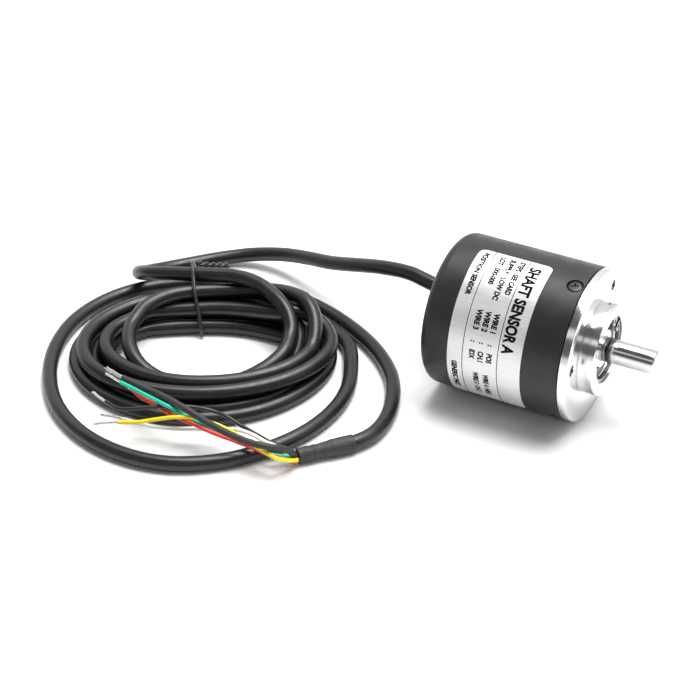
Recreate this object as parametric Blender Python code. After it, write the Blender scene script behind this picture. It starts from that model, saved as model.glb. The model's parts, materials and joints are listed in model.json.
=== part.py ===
"""Solid-shaft incremental rotary encoder with its cable, as separate parts.

Metres, +Z up. +X runs along the shaft, from the rear cover to the shaft's free end. The encoder lies
on its side, its axis one body radius above Z = 0. The origin lies under the middle of the encoder
without its cable. Sizes along X below are counted from the flange's mounting face, which is at FACE_X.
"""
import math

import bmesh
import bpy
from mathutils import Matrix, Vector

MM = 0.001
GAP = 0.3 * MM             # between a piece and the one that it rests against
FIT = 0.05 * MM            # radial play of a ring on its seat
SIDES = 32                 # facets of every large turned piece
SMALL_SIDES = 16
PHASE = math.radians(2.0)  # turns the facets so that the label's ends fall on them

# Body
FACE_X = 17.35 * MM        # the mounting face
BODY_R = 25.0 * MM
REAR_X = -50.2 * MM
REAR_FILLET = 3.5 * MM
WALL = 2.4 * MM
RIM_X = -2.7 * MM          # back of the flange's rim
COVER_X = RIM_X - GAP      # front edge of the cover

# Flange
RIM_R = 24.9 * MM
SPIGOT_R = 22.3 * MM
SPIGOT_X = -11.0 * MM
NOSE_R = 15.0 * MM
NOSE_X = -16.0 * MM
BOSS_R = 15.0 * MM
BOSS_X = 4.9 * MM
CHAMFER = 0.35 * MM
SEAT_R = 11.0 * MM
LIP_R = 9.5 * MM
LIP_X = -14.3 * MM
CIRCLIP_GROOVE = (3.05 * MM, 4.25 * MM)
CIRCLIP_GROOVE_R = 11.6 * MM
CIRCLIP_R = 9.9 * MM
O_RING_GROOVE = (-10.2 * MM, -8.6 * MM)
O_RING_GROOVE_R = 21.2 * MM
O_RING_R = 0.5 * MM

# Threaded mounting holes, as drilled
MOUNT_PCD = 40.0 * MM
MOUNT_HOLE_R = 1.75 * MM
MOUNT_DEPTH = 6.5 * MM
MOUNT_ANGLES = (51.8, 171.8, 291.8)   # degrees from +Y towards +Z

# Screws that hold the cover to the flange
COVER_SCREW_X = -6.0 * MM
COVER_SCREW_ANGLES = (104.0, 224.0, 344.0)
COUNTERBORE_R = 2.6 * MM
COUNTERBORE_FLOOR = 23.7 * MM
COVER_SCREW_HOLE_R = 1.3 * MM
COVER_SCREW_HOLE_FLOOR = 16.8 * MM

# Ball bearings, 8 x 22 x 7
BEARING_W = 7.0 * MM
FRONT_BEARING_X = -4.1 * MM           # rear faces of the two bearings
REAR_BEARING_X = -14.0 * MM
SPACER_R = (9.4 * MM, 10.8 * MM)
OUTER_LAND_R = 8.8 * MM
INNER_LAND_R = 6.2 * MM
PITCH_R = 7.5 * MM
BALL_R = 1.985 * MM
BALLS = 7
SHIELD_R = (6.5 * MM, 9.15 * MM)
SHIELD_T = 0.25 * MM
GROOVE_R = 2.05 * MM
CAGE_R = (7.0 * MM, 8.0 * MM)
CAGE_T = 1.2 * MM

# Shaft
SHAFT_R = 4.0 * MM
SHAFT_TIP_X = 20.5 * MM
SHAFT_TAIL_X = -32.0 * MM
SHOULDER_R = 5.2 * MM
SHOULDER = (-16.4 * MM, -14.3 * MM)

# Code disc on its hub
HUB = (-25.0 * MM, -19.0 * MM)
HUB_R = 8.0 * MM
HUB_SPIGOT_X = -27.8 * MM
HUB_SPIGOT_R = 5.9 * MM
DISC = (-26.2 * MM, -25.3 * MM)
DISC_R = 17.6 * MM
CLAMP = (-27.6 * MM, -26.5 * MM)
CLAMP_R = 8.6 * MM
SET_SCREW_X = -22.0 * MM

# Sensing parts, on the circle of the disc's track
OPTICS_ANGLE = 60.0
OPTICS_R = 16.0 * MM
BRACKET_X = -20.5 * MM
LED_X = (-23.4 * MM, -20.8 * MM)
LENS_X = (-25.0 * MM, -23.7 * MM)
RETICLE = (-27.3 * MM, -26.6 * MM)
DETECTOR_X = -27.6 * MM

# Board and its posts
BOARD = (-35.0 * MM, -33.4 * MM)
BOARD_R = 21.9 * MM
POST_PCD_R = 20.1 * MM
POST_R = 1.8 * MM
POST_ANGLES = (0.0, 120.0, 240.0)
POST_HOLE_R = 1.3 * MM

# Label
LABEL_X = (-39.8 * MM, -15.0 * MM)
LABEL_START = 92.0
LABEL_SPAN = 135.0
LABEL_R = BODY_R + FIT
LABEL_T = 0.1 * MM

# Cable
CABLE_R = 2.5 * MM
EXIT_Y = 8.0 * MM                      # beside the axis
GLAND_TIP_X = -55.2 * MM
COIL_CENTRE = Vector((-106.15 * MM, -33.5 * MM, 0.0))
COIL_ANGLE = math.radians(27.5)        # of the coil's long axis
COIL_INNER = (26.0 * MM, 16.6 * MM)    # half-lengths of the oval
COIL_OUTER = (44.0 * MM, 38.9 * MM)
COIL_Z = (0.1 * MM, 10.1 * MM)
COIL_CHAMFER = 1.5 * MM
SLEEVE_R = (2.9 * MM, 2.5 * MM)        # over the jacket, over the leads
LEAD_R = 0.65 * MM
SHIELD_LEAD_R = 1.1 * MM
LEAD_POINTS = 12
LEAD_COLOURS = {
    "lead_red": (0.75, 0.06, 0.03),
    "lead_green": (0.0, 0.5, 0.32),
    "lead_yellow": (0.85, 0.68, 0.02),
    "lead_white": (0.85, 0.85, 0.83),
    "lead_black": (0.03, 0.03, 0.03),
}
TIE_R = 0.8 * MM

# Routes in millimetres, in the coil's own frame: along its long axis, across it, and up.
RUN_ROUTE = [
    (79.5, 5.4, 25.0), (77.0, 6.7, 25.0), (72.6, 10.2, 25.4), (66.9, 15.0, 25.4), (57.3, 22.9, 22.6),
    (42.3, 37.2, 15.0), (34.2, 45.6, 11.2), (26.7, 53.4, 8.0), (18.9, 58.2, 5.6), (10.8, 60.1, 3.9),
    (0.0, 58.9, 2.9), (-9.0, 56.0, 2.7), (-16.5, 52.4, 3.2), (-22.5, 47.8, 4.8), (-25.4, 41.8, 8.6),
    (-21.6, 36.0, 12.8), (-13.8, 32.6, 13.6), (-6.8, 31.0, 13.6), (0.1, 30.2, 13.6), (7.0, 29.4, 13.5),
    (13.9, 27.4, 13.4),
]
LOOP_ROUTE = [
    (46.8, 5.7, 2.6), (48.0, -6.0, 2.6), (46.8, -20.0, 2.6), (42.0, -32.0, 2.6), (33.5, -43.0, 2.6),
    (22.0, -51.5, 2.6), (8.0, -57.5, 2.6), (-8.0, -58.8, 2.6), (-23.0, -54.0, 2.6), (-36.0, -44.0, 2.6),
    (-45.5, -30.0, 2.6), (-50.2, -14.0, 2.6), (-50.6, 3.0, 2.6), (-46.3, 19.0, 2.6), (-37.0, 32.0, 2.6),
    (-24.5, 40.2, 2.6), (-9.0, 43.3, 2.6), (7.0, 42.7, 2.6), (22.0, 38.6, 2.6), (35.5, 29.7, 2.6),
    (47.0, 17.5, 2.6), (56.0, 3.5, 2.6), (61.0, -11.0, 2.6), (61.5, -24.0, 2.6), (59.2, -36.0, 2.7),
    (54.6, -44.4, 2.9), (49.2, -48.7, 3.0),
]
SLEEVE_ROUTE = [(48.9, -48.9, 3.0), (31.5, -55.5, 3.0)]
TIE_ROUTE = [
    (-4.0, 14.3, 0.9), (-4.0, 14.3, 8.0), (-4.2, 16.0, 11.4), (-4.8, 24.0, 14.2), (-5.4, 29.8, 17.5),
    (-5.6, 36.0, 16.9), (-5.8, 40.6, 11.5), (-6.0, 46.9, 6.0), (-6.0, 46.9, 0.9),
]
TIE_TWIST_ROUTE = [(-4.0, 38.2, 14.5), (1.0, 38.8, 13.4), (5.0, 39.0, 12.6), (8.6, 39.2, 12.2)]
LEAD_ROUTES = {
    "shield_lead": [
        (31.4, -56.2, 4.6), (29.3, -58.2, 7.0), (26.8, -59.7, 9.2), (22.8, -61.1, 10.9),
        (17.3, -59.6, 11.4), (10.4, -55.6, 11.8), (3.1, -50.9, 13.1), (-3.7, -45.9, 14.4),
        (-11.0, -39.3, 14.2), (-17.8, -33.6, 13.4), (-24.3, -27.9, 12.9),
    ],
    "lead_green": [
        (30.8, -54.5, 3.9), (28.4, -56.2, 5.3), (23.2, -56.9, 7.4), (17.5, -53.1, 7.4),
        (11.2, -49.7, 7.4), (4.3, -47.2, 8.4), (-2.6, -45.2, 10.4), (-9.2, -43.4, 13.4),
        (-15.9, -38.3, 13.6), (-20.6, -34.2, 13.4), (-24.9, -30.0, 12.8),
    ],
    "lead_red": [
        (31.6, -56.7, 2.0), (28.1, -57.7, 3.4), (23.3, -59.6, 6.6), (17.6, -56.0, 6.8), (12.0, -52.9, 7.0),
        (5.6, -50.2, 7.8), (-1.0, -47.0, 9.0), (-7.8, -43.3, 9.7), (-13.8, -38.8, 10.8), (-18.0, -36.0, 11.3),
        (-21.5, -31.8, 11.6),
    ],
    "lead_yellow": [
        (31.9, -57.5, 3.2), (28.6, -61.5, 6.0), (24.7, -63.1, 8.4), (20.3, -59.2, 8.6), (15.8, -55.2, 8.8),
        (11.0, -50.4, 8.7), (5.6, -47.8, 9.8), (0.1, -47.6, 11.7), (-6.1, -47.4, 12.0), (-12.5, -46.7, 10.6),
        (-18.5, -46.0, 9.0), (-24.6, -45.0, 8.2),
    ],
    "lead_white": [
        (31.1, -55.4, 2.4), (28.0, -55.7, 3.7), (23.2, -56.3, 5.9), (18.1, -52.8, 6.2), (12.4, -49.7, 5.6),
        (6.6, -47.1, 5.6), (0.3, -45.0, 5.8), (-6.0, -44.9, 5.6), (-12.3, -44.1, 5.6), (-17.4, -43.4, 6.4),
        (-23.1, -41.8, 7.0),
    ],
    "lead_black": [
        (30.5, -53.9, 2.1), (27.4, -52.7, 4.2), (23.3, -53.2, 6.6), (17.9, -48.4, 6.6), (13.2, -44.6, 7.0),
        (9.0, -42.4, 8.6), (4.4, -42.1, 10.6), (-1.0, -41.3, 11.3), (-6.6, -41.2, 11.7), (-13.2, -42.0, 12.0),
        (-19.7, -42.2, 11.4), (-24.8, -41.2, 10.8), (-29.1, -37.3, 10.6),
    ],
}


def clear_scene():
    for item in list(bpy.data.objects):
        bpy.data.objects.remove(item, do_unlink=True)


def finish(name, colour, roughness, metallic):
    material = bpy.data.materials.new(name)
    material.use_nodes = True
    shader = material.node_tree.nodes["Principled BSDF"]
    shader.inputs["Base Color"].default_value = (*colour, 1.0)
    shader.inputs["Roughness"].default_value = roughness
    shader.inputs["Metallic"].default_value = metallic
    return material


def add_object(name, data, material, location=(FACE_X, 0.0, BODY_R)):
    item = bpy.data.objects.new(name, data)
    item.location = location
    data.materials.append(material)
    bpy.context.scene.collection.objects.link(item)
    return item


def face_outwards(form):
    bmesh.ops.recalc_face_normals(form, faces=form.faces)
    if form.calc_volume(signed=True) < 0.0:
        bmesh.ops.reverse_faces(form, faces=form.faces)


def add_mesh(name, form, material, smooth=True, **place):
    face_outwards(form)
    mesh = bpy.data.meshes.new(name)
    form.to_mesh(mesh)
    form.free()
    if smooth:
        mesh.shade_smooth()
        mesh.set_sharp_from_angle(angle=math.radians(30.0))
    return add_object(name, mesh, material, **place)


def polar(radius, degrees, x=0.0):
    """A point around the encoder's axis, its angle counted from +Y towards +Z."""
    angle = math.radians(degrees)
    return Vector((x, radius * math.cos(angle), radius * math.sin(angle)))


def turned_form(outline, sides=SIDES, start=PHASE):
    """Turn a closed outline of (x, radius) points once about the X axis."""
    form = bmesh.new()
    turn = Matrix.Rotation(start, 3, "X")
    loop = [form.verts.new(turn @ Vector((x, radius, 0.0))) for x, radius in outline]
    edges = []
    for index, (x, radius) in enumerate(outline):
        if radius > 0.0 or outline[index - 1][1] > 0.0:
            edges.append(form.edges.new((loop[index - 1], loop[index])))
    bmesh.ops.spin(form, geom=loop + edges, axis=(1.0, 0.0, 0.0), cent=(0.0, 0.0, 0.0),
                   angle=2.0 * math.pi, steps=sides, use_merge=True)
    bmesh.ops.remove_doubles(form, verts=form.verts, dist=1e-7)
    return form


def turned(name, outline, material, sides=SIDES, **place):
    return add_mesh(name, turned_form(outline, sides), material, **place)


def ring_outline(low_x, high_x, inner, outer, chamfer=0.0):
    """The section of a ring, with its outer corners chamfered."""
    if chamfer == 0.0:
        return [(low_x, inner), (low_x, outer), (high_x, outer), (high_x, inner)]
    return [(low_x, inner), (low_x, outer - chamfer), (low_x + chamfer, outer),
            (high_x - chamfer, outer), (high_x, outer - chamfer), (high_x, inner)]


def arc(centre, radius, start, end, steps):
    """Points of a round stretch of an outline, angles in degrees from +X towards +radius."""
    points = []
    for step in range(steps + 1):
        angle = math.radians(start + (end - start) * step / steps)
        points.append((centre[0] + radius * math.cos(angle), centre[1] + radius * math.sin(angle)))
    return points


def block_form(low, high):
    form = bmesh.new()
    bmesh.ops.create_cube(form, size=1.0)
    low = Vector(low)
    high = Vector(high)
    bmesh.ops.scale(form, verts=form.verts, vec=high - low)
    bmesh.ops.translate(form, verts=form.verts, vec=(low + high) / 2.0)
    return form


def merge_form(form, other, matrix):
    """Add a copy of another form, moved by a matrix."""
    other.transform(matrix)
    mesh = bpy.data.meshes.new("scratch")
    other.to_mesh(mesh)
    other.free()
    form.from_mesh(mesh)
    bpy.data.meshes.remove(mesh)


def outward(degrees, x):
    """A matrix that takes +X to the direction away from the axis, at an angle and a place along X."""
    lean = Matrix.Rotation(math.radians(degrees), 4, "X") @ Matrix.Rotation(math.radians(90.0), 4, "Z")
    return Matrix.Translation((x, 0.0, 0.0)) @ lean


def cut(target, name, form):
    """Cut a closed form out of a piece."""
    face_outwards(form)
    mesh = bpy.data.meshes.new(name)
    form.to_mesh(mesh)
    form.free()
    cutter = bpy.data.objects.new(name, mesh)
    cutter.location = target.location
    cutter.hide_render = True
    cutter.display_type = "WIRE"
    bpy.context.scene.collection.objects.link(cutter)
    boolean = target.modifiers.new(name, "BOOLEAN")
    boolean.operation = "DIFFERENCE"
    boolean.solver = "EXACT"
    boolean.object = cutter


def rod_outline(low_x, high_x, radius):
    return [(low_x, 0.0), (low_x, radius), (high_x, radius), (high_x, 0.0)]


def coil_point(point):
    """A route point, given in millimetres in the coil's frame, in the encoder's frame."""
    return COIL_CENTRE + Matrix.Rotation(COIL_ANGLE, 3, "Z") @ (Vector(point) * MM)


def smooth_route(route, count):
    """Evenly spaced points on a smooth curve through a route's own points."""
    knots = [Vector(point) for point in route]
    knots = [2.0 * knots[0] - knots[1]] + knots + [2.0 * knots[-1] - knots[-2]]
    dense = []
    for index in range(1, len(knots) - 2):
        before, first, last, after = knots[index - 1:index + 3]
        for step in range(20):
            t = step / 20.0
            dense.append(0.5 * (2.0 * first + (last - before) * t
                                + (2.0 * before - 5.0 * first + 4.0 * last - after) * t ** 2
                                + (3.0 * first - before - 3.0 * last + after) * t ** 3))
    dense.append(knots[-2])
    along = [0.0]
    for near, far in zip(dense, dense[1:]):
        along.append(along[-1] + (far - near).length)
    points = []
    index = 0
    for step in range(count):
        goal = along[-1] * step / (count - 1)
        while index < len(dense) - 2 and along[index + 1] < goal:
            index += 1
        share = (goal - along[index]) / (along[index + 1] - along[index])
        points.append(dense[index].lerp(dense[index + 1], min(share, 1.0)))
    return points


def tube(name, points, radius, material, resolution=2):
    curve = bpy.data.curves.new(name, "CURVE")
    curve.dimensions = "3D"
    curve.bevel_depth = radius
    curve.bevel_resolution = resolution
    curve.use_fill_caps = True
    spline = curve.splines.new("POLY")
    spline.points.add(len(points) - 1)
    for slot, point in zip(spline.points, points):
        slot.co = (*point, 1.0)
    return add_object(name, curve, material, location=(0.0, 0.0, 0.0))


def make_cover(black):
    inner_r = BODY_R - WALL
    outline = [(COVER_X, inner_r), (COVER_X, BODY_R)]
    outline += arc((REAR_X + REAR_FILLET, BODY_R - REAR_FILLET), REAR_FILLET, 90.0, 180.0, 5)
    outline += [(REAR_X, 0.0), (REAR_X + WALL, 0.0), (REAR_X + WALL, inner_r)]
    cover = turned("housing_cover", outline, black)
    gland_hole = turned_form(rod_outline(REAR_X - WALL, REAR_X + 2.0 * WALL, 4.3 * MM), SMALL_SIDES)
    bmesh.ops.translate(gland_hole, verts=gland_hole.verts, vec=(0.0, EXIT_Y, 0.0))
    for angle in COVER_SCREW_ANGLES:
        counterbore = turned_form(rod_outline(COUNTERBORE_FLOOR, BODY_R + WALL, COUNTERBORE_R), 24)
        merge_form(gland_hole, counterbore, outward(angle, COVER_SCREW_X))
    cut(cover, "cover_bores", gland_hole)
    screw_holes = bmesh.new()
    for angle in COVER_SCREW_ANGLES:
        hole = turned_form(rod_outline(inner_r - WALL, BODY_R, COVER_SCREW_HOLE_R), SMALL_SIDES)
        merge_form(screw_holes, hole, outward(angle, COVER_SCREW_X))
    cut(cover, "cover_screw_holes", screw_holes)


def make_flange(aluminium):
    groove_low, groove_high = CIRCLIP_GROOVE
    outline = [
        (LIP_X, SEAT_R), (groove_low, SEAT_R), (groove_low, CIRCLIP_GROOVE_R),
        (groove_high, CIRCLIP_GROOVE_R), (groove_high, SEAT_R), (BOSS_X - CHAMFER, SEAT_R),
        (BOSS_X, SEAT_R + CHAMFER), (BOSS_X, BOSS_R - CHAMFER), (BOSS_X - CHAMFER, BOSS_R),
        (0.0, BOSS_R), (0.0, RIM_R - CHAMFER), (-CHAMFER, RIM_R), (RIM_X, RIM_R), (RIM_X, SPIGOT_R),
        (O_RING_GROOVE[1], SPIGOT_R), (O_RING_GROOVE[1], O_RING_GROOVE_R),
        (O_RING_GROOVE[0], O_RING_GROOVE_R), (O_RING_GROOVE[0], SPIGOT_R), (SPIGOT_X, SPIGOT_R),
        (SPIGOT_X, NOSE_R), (NOSE_X, NOSE_R), (NOSE_X, LIP_R), (LIP_X, LIP_R),
    ]
    flange = turned("front_flange", outline, aluminium)
    holes = bmesh.new()
    for angle in MOUNT_ANGLES:
        centre = polar(MOUNT_PCD / 2.0, angle)
        hole = turned_form(rod_outline(-MOUNT_DEPTH, BOSS_X, MOUNT_HOLE_R), SMALL_SIDES)
        merge_form(holes, hole, Matrix.Translation(centre))
    for angle in COVER_SCREW_ANGLES:
        hole = turned_form(rod_outline(COVER_SCREW_HOLE_FLOOR, BODY_R, COVER_SCREW_HOLE_R), SMALL_SIDES)
        merge_form(holes, hole, outward(angle, COVER_SCREW_X))
    cut(flange, "flange_holes", holes)


def cross_form(reach, half_width, low_x, high_x):
    """A plus-shaped prism along X, for a screw's cross recess."""
    form = bmesh.new()
    corners = [(reach, -half_width), (reach, half_width), (half_width, half_width), (half_width, reach),
               (-half_width, reach), (-half_width, half_width), (-reach, half_width),
               (-reach, -half_width), (-half_width, -half_width), (-half_width, -reach),
               (half_width, -reach), (half_width, -half_width)]
    face = form.faces.new([form.verts.new((low_x, y, z)) for y, z in corners])
    lift = bmesh.ops.extrude_face_region(form, geom=[face])
    top = [item for item in lift["geom"] if isinstance(item, bmesh.types.BMVert)]
    bmesh.ops.translate(form, verts=top, vec=(high_x - low_x, 0.0, 0.0))
    return form


def make_screw(name, material, shank_r, shank_x, head_r, head_x, place):
    """A cheese-head screw along +X, its head outermost, then moved by a matrix."""
    edge = 0.2 * MM
    outline = [(shank_x, 0.0), (shank_x, shank_r - edge), (shank_x + edge, shank_r),
               (head_x[0], shank_r), (head_x[0], head_r), (head_x[1] - edge, head_r),
               (head_x[1], head_r - edge), (head_x[1], 0.0)]
    form = turned_form(outline, SMALL_SIDES)
    form.transform(place)
    screw = add_mesh(name, form, material)
    recess = cross_form(head_r * 0.62, head_r * 0.16, head_x[1] - 0.7 * MM, head_x[1] + 0.5 * MM)
    recess.transform(place)
    cut(screw, name + "_recess", recess)


def make_cover_screws(black_steel):
    for number, angle in enumerate(COVER_SCREW_ANGLES, start=1):
        head_x = (COUNTERBORE_FLOOR + GAP / 2.0, COUNTERBORE_FLOOR + 1.15 * MM)
        make_screw("cover_screw_%d" % number, black_steel, 1.0 * MM, COVER_SCREW_HOLE_FLOOR + GAP,
                   2.3 * MM, head_x, outward(angle, COVER_SCREW_X))


def make_o_ring(rubber):
    middle = (O_RING_GROOVE[0] + O_RING_GROOVE[1]) / 2.0
    centre = (middle, O_RING_GROOVE_R + O_RING_R + FIT)
    turned("cover_o_ring", arc(centre, O_RING_R, 0.0, 300.0, 5), rubber)


def make_circlip(steel):
    """The internal retaining ring in front of the front bearing, open at the top right."""
    low_x = CIRCLIP_GROOVE[0] + 0.1 * MM
    high_x = CIRCLIP_GROOVE[1] - 0.1 * MM
    circlip = turned("bearing_circlip", ring_outline(low_x, high_x, CIRCLIP_R, CIRCLIP_GROOVE_R - 0.1 * MM),
                     steel)
    slot = block_form((low_x - MM, 0.0, -1.5 * MM), (high_x + MM, 14.0 * MM, 1.5 * MM))
    slot.transform(Matrix.Rotation(math.radians(40.0), 4, "X"))
    cut(circlip, "circlip_gap", slot)


def make_bearing(prefix, rear_x, steel, cage_steel):
    front_x = rear_x + BEARING_W
    middle = (rear_x + front_x) / 2.0
    outer = [(rear_x, OUTER_LAND_R), (rear_x, SEAT_R - FIT), (front_x, SEAT_R - FIT), (front_x, OUTER_LAND_R)]
    outer += arc((middle, PITCH_R), GROOVE_R, 40.0, 140.0, 4)
    inner = [(rear_x, SHAFT_R + FIT), (rear_x, INNER_LAND_R)]
    inner += arc((middle, PITCH_R), GROOVE_R, 220.0, 320.0, 4)
    inner += [(front_x, INNER_LAND_R), (front_x, SHAFT_R + FIT)]
    turned(prefix + "_outer_ring", outer, steel)
    turned(prefix + "_inner_ring", inner, steel)
    cage = turned(prefix + "_ball_cage",
                  ring_outline(middle - CAGE_T / 2.0, middle + CAGE_T / 2.0, *CAGE_R), cage_steel)
    balls = bmesh.new()
    for number in range(BALLS):
        centre = polar(PITCH_R, 360.0 * number / BALLS)
        bmesh.ops.create_uvsphere(balls, u_segments=10, v_segments=6, radius=BALL_R,
                                  matrix=Matrix.Translation((middle, centre.y, centre.z)))
    join(cage, prefix + "_balls", balls)


def join(target, name, form):
    """Weld closed forms to a piece, which must reach into each of them."""
    cut(target, name, form)
    target.modifiers[name].operation = "UNION"


def make_bearings(steel, cage_steel, shield_steel):
    make_bearing("front_bearing", FRONT_BEARING_X, steel, cage_steel)
    make_bearing("rear_bearing", REAR_BEARING_X, steel, cage_steel)
    face_x = FRONT_BEARING_X + BEARING_W + GAP / 2.0
    turned("front_bearing_shield", ring_outline(face_x, face_x + SHIELD_T, *SHIELD_R), shield_steel)


def make_preload(steel):
    """A spacer ring and a wave washer between the two outer rings."""
    washer_x = REAR_BEARING_X + BEARING_W + 0.6 * MM
    form = turned_form(ring_outline(washer_x - 0.12 * MM, washer_x + 0.12 * MM, *SPACER_R))
    for vert in form.verts:
        vert.co.x += 0.15 * MM * math.cos(3.0 * math.atan2(vert.co.z, vert.co.y))
    add_mesh("wave_washer", form, steel)
    turned("bearing_spacer", ring_outline(washer_x + 0.6 * MM, FRONT_BEARING_X - GAP, *SPACER_R), steel)


def make_shaft(steel):
    edge = 0.45 * MM
    outline = [
        (SHAFT_TIP_X, 0.0), (SHAFT_TIP_X, SHAFT_R - edge), (SHAFT_TIP_X - edge, SHAFT_R),
        (SHOULDER[1], SHAFT_R), (SHOULDER[1], SHOULDER_R), (SHOULDER[0], SHOULDER_R),
        (SHOULDER[0], SHAFT_R), (SHAFT_TAIL_X + edge, SHAFT_R), (SHAFT_TAIL_X, SHAFT_R - edge),
        (SHAFT_TAIL_X, 0.0),
    ]
    turned("shaft", outline, steel)


def make_disc(brass, glass, black_steel):
    bore_r = SHAFT_R + FIT
    outline = [(HUB_SPIGOT_X, bore_r), (HUB_SPIGOT_X, HUB_SPIGOT_R), (HUB[0], HUB_SPIGOT_R),
               (HUB[0], HUB_R), (HUB[1], HUB_R), (HUB[1], bore_r)]
    hub = turned("disc_hub", outline, brass)
    hole = turned_form(rod_outline(SHAFT_R - MM, HUB_R + MM, 1.55 * MM), SMALL_SIDES)
    hole.transform(outward(90.0, SET_SCREW_X))
    cut(hub, "set_screw_hole", hole)
    screw = turned_form(rod_outline(SHAFT_R + GAP, HUB_R - GAP, 1.3 * MM), SMALL_SIDES)
    screw.transform(outward(90.0, SET_SCREW_X))
    add_mesh("hub_set_screw", screw, black_steel)
    turned("code_disc", ring_outline(*DISC, HUB_SPIGOT_R + GAP, DISC_R), glass)
    turned("disc_clamp_ring", ring_outline(*CLAMP, HUB_SPIGOT_R + FIT, CLAMP_R), brass)


def place_optic(form):
    form.transform(Matrix.Translation(polar(OPTICS_R, OPTICS_ANGLE)))
    return form


def make_optics(black, clear, chip):
    turn = Matrix.Rotation(math.radians(OPTICS_ANGLE), 4, "X")
    bracket = block_form((BRACKET_X, 15.4 * MM, -4.0 * MM), (SPIGOT_X - GAP, 19.5 * MM, 4.0 * MM))
    bracket.transform(turn)
    add_mesh("led_bracket", bracket, black, smooth=False)
    dome_x, base_x = LED_X
    led = [(base_x, 0.0), (base_x, 1.6 * MM), (dome_x + 0.8 * MM, 1.6 * MM),
           (dome_x + 0.2 * MM, 1.1 * MM), (dome_x, 0.0)]
    add_mesh("led_emitter", place_optic(turned_form(led, SMALL_SIDES)), clear)
    low_x, high_x = LENS_X
    lens = [(high_x, 0.0), (high_x - 0.1 * MM, 1.4 * MM), (low_x + 0.5 * MM, 1.4 * MM),
            (low_x + 0.1 * MM, 0.9 * MM), (low_x, 0.0)]
    add_mesh("collimator_lens", place_optic(turned_form(lens, SMALL_SIDES)), clear)
    plate = block_form((RETICLE[0], 12.4 * MM, -3.5 * MM), (RETICLE[1], 19.0 * MM, 3.5 * MM))
    plate.transform(turn)
    add_mesh("reticle_plate", plate, clear, smooth=False)
    sensor = block_form((BOARD[1] + GAP, 12.8 * MM, -3.0 * MM), (DETECTOR_X, 18.6 * MM, 3.0 * MM))
    sensor.transform(turn)
    add_mesh("photodetector", sensor, chip, smooth=False)


def make_board(green, chip, nylon, steel, metal):
    board = turned("sensor_board", rod_outline(*BOARD, BOARD_R), green)
    holes = bmesh.new()
    for number, angle in enumerate(POST_ANGLES, start=1):
        place = Matrix.Translation(polar(POST_PCD_R, angle))
        hole = turned_form(rod_outline(BOARD[0] - MM, BOARD[1] + MM, POST_HOLE_R), SMALL_SIDES)
        merge_form(holes, hole, place)
        post = turned_form([(BOARD[1] + GAP, POST_HOLE_R), (BOARD[1] + GAP, POST_R),
                            (SPIGOT_X - GAP, POST_R), (SPIGOT_X - GAP, 0.0),
                            (BOARD[1] + 6.0 * MM, 0.0), (BOARD[1] + 6.0 * MM, POST_HOLE_R)], SMALL_SIDES)
        post.transform(place)
        add_mesh("board_post_%d" % number, post, metal)
        backwards = place @ Matrix.Rotation(math.pi, 4, "Z")
        make_screw("board_screw_%d" % number, steel, 1.0 * MM, -(BOARD[1] + 5.4 * MM), 1.7 * MM,
                   (-(BOARD[0] - GAP), -(BOARD[0] - 1.7 * MM)), backwards)
    cut(board, "board_holes", holes)
    back_x = BOARD[0] - GAP
    driver = block_form((back_x - 1.6 * MM, -9.0 * MM, -13.0 * MM), (back_x, 1.0 * MM, -8.0 * MM))
    add_mesh("line_driver_ic", driver, chip, smooth=False)
    capacitor = turned_form(rod_outline(back_x - 5.4 * MM, back_x, 2.4 * MM), SMALL_SIDES)
    bmesh.ops.translate(capacitor, verts=capacitor.verts, vec=(0.0, -10.0 * MM, 7.0 * MM))
    add_mesh("capacitor", capacitor, steel)
    header = block_form((back_x - 4.6 * MM, EXIT_Y - 7.0 * MM, -2.8 * MM),
                        (back_x, EXIT_Y + 7.0 * MM, 2.8 * MM))
    add_mesh("wire_header", header, nylon, smooth=False)


def make_gland(rubber, jacket):
    """The grommet in the rear wall, and the stub of cable between it and the board."""
    inner_x = REAR_X + WALL
    outline = [
        (inner_x + 1.8 * MM, 0.0), (inner_x + 1.8 * MM, 5.4 * MM), (inner_x + GAP, 5.4 * MM),
        (inner_x + GAP, 4.0 * MM), (REAR_X - GAP, 4.0 * MM), (REAR_X - GAP, 5.2 * MM),
        (REAR_X - 1.7 * MM, 5.2 * MM), (REAR_X - 1.9 * MM, 3.9 * MM), (GLAND_TIP_X, 3.2 * MM),
        (GLAND_TIP_X, 0.0),
    ]
    place = (FACE_X, EXIT_Y, BODY_R)
    turned("cable_gland", outline, rubber, sides=24, location=place)
    stub = rod_outline(inner_x + 1.8 * MM + GAP, BOARD[0] - 5.2 * MM, CABLE_R)
    turned("cable_inner_end", stub, jacket, sides=SMALL_SIDES, location=place)


def make_label(foil):
    form = bmesh.new()
    turn = Matrix.Rotation(math.radians(LABEL_START), 3, "X")
    section = ring_outline(*LABEL_X, LABEL_R, LABEL_R + LABEL_T)
    face = form.faces.new([form.verts.new(turn @ Vector((x, radius, 0.0))) for x, radius in section])
    steps = round(LABEL_SPAN / 360.0 * SIDES)
    bmesh.ops.spin(form, geom=[face], axis=(1.0, 0.0, 0.0), cent=(0.0, 0.0, 0.0),
                   angle=math.radians(LABEL_SPAN), steps=steps)
    add_mesh("rating_label", form, foil)


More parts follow.
